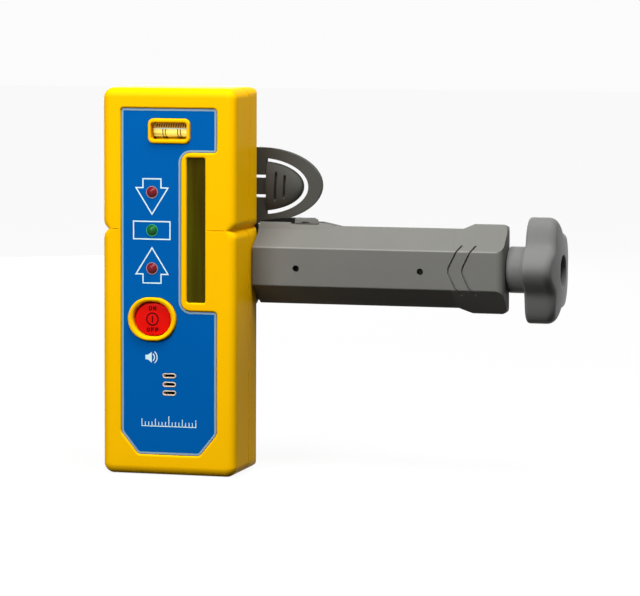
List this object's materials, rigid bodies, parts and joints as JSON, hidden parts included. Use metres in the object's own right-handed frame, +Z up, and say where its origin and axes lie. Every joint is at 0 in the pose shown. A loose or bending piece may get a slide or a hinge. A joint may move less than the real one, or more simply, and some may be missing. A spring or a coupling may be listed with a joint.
{
  "type": "laser receiver",
  "caption": "Hand-held laser level receiver with a detector window, lamps, spirit level and power button, on an arm whose screw jaw clamps a grade rod.",
  "frame": {"origin": "middle of the fixed jaw's gripping face, where the grade rod rests", "axes": "+X along the clamp screw from the fixed jaw to the knob, -Y the receiver's front, +Z up along the rod"},
  "size_m": [0.1924, 0.0806, 0.165],
  "materials": {
    "yellow_plastic": "satin moulded",
    "blue_label": "printed film",
    "filter_pane": "dark filter",
    "red_cap": "satin moulded",
    "red_lamp": "clear tinted",
    "green_lamp": "clear tinted",
    "vial_tube": "clear",
    "vial_fluid": "clear tinted",
    "air": "clear",
    "cream_plastic": "moulded",
    "grey_plastic": "fine grain moulded",
    "dark_plastic": "fine grain moulded",
    "knob_plastic": "satin moulded",
    "black_plastic": "moulded",
    "rubber": "moulded",
    "steel": "turned",
    "bronze": "turned",
    "brass": "turned",
    "board": "coated board",
    "silicon": "polished",
    "cell_sleeve": "plain sleeve"
  },
  "bodies": {
    "receiver": {"front_case": "yellow_plastic", "rear_case": "yellow_plastic", "case_seal": "rubber", "case_screws": "steel", "face_label": "blue_label", "sensor_window": "filter_pane", "sensor_board": "board", "photodiodes": "silicon", "board_spacers": "steel", "main_board": "board", "board_screws": "steel", "high_led": "red_lamp", "on_grade_led": "green_lamp", "low_led": "red_lamp", "button_bezel": "yellow_plastic", "tact_switch": "black_plastic", "vial_bezel": "yellow_plastic", "level_vial": "vial_tube", "vial_liquid": "vial_fluid", "vial_bubble": "air", "speaker_grille": "cream_plastic", "buzzer": "black_plastic", "battery_box": "black_plastic", "battery_cells": "cell_sleeve", "contact_springs": "steel", "contact_plates": "steel", "door_hinge_pin": "steel", "clamp_plate": "dark_plastic", "tongue_pin": "steel", "plate_screws": "steel", "arm_housing": "grey_plastic", "arm_pins": "black_plastic", "guide_strip": "cream_plastic", "tail_bush": "bronze", "collar_bush": "bronze", "fixed_jaw": "grey_plastic", "fixed_jaw_pad": "rubber"},
    "button": {"power_button": "red_cap"},
    "tongue": {"release_tongue": "dark_plastic"},
    "door": {"battery_door": "yellow_plastic", "door_seal": "rubber"},
    "screw": {"lead_screw": "steel", "thrust_ring": "steel", "knob": "knob_plastic", "knob_screw": "steel"},
    "jaw": {"moving_jaw": "grey_plastic", "jaw_nut": "brass", "moving_jaw_pad": "rubber"}
  },
  "joints": [
    {"name": "button_press", "type": "slide", "parent": "receiver", "child": "button", "axis": [0, 1, 0], "range_m": [0, 0.0012], "stiffness_N_per_m": 1500},
    {"name": "tongue_flex", "type": "hinge", "parent": "receiver", "child": "tongue", "pos_m": [-0.06, -0.0274, 0.0335], "axis": [0, 0, 1], "range_deg": [0, 5], "stiffness_Nm_per_rad": 2.5},
    {"name": "door_hinge", "type": "hinge", "parent": "receiver", "child": "door", "pos_m": [-0.064, -0.03025, -0.07635], "axis": [-1, 0, 0], "range_deg": [0, 95]},
    {"name": "knob_turn", "type": "hinge", "parent": "receiver", "child": "screw", "pos_m": [0.086, -0.0295, 0], "axis": [1, 0, 0], "range_deg": [-3360, 1440]},
    {"name": "jaw_slide", "type": "slide", "parent": "receiver", "child": "jaw", "axis": [1, 0, 0], "range_m": [-0.028, 0.012]}
  ],
  "couplings": [
    {"joint": "jaw_slide", "follows": "knob_turn", "m_per_rad": 0.00047746}
  ]
}
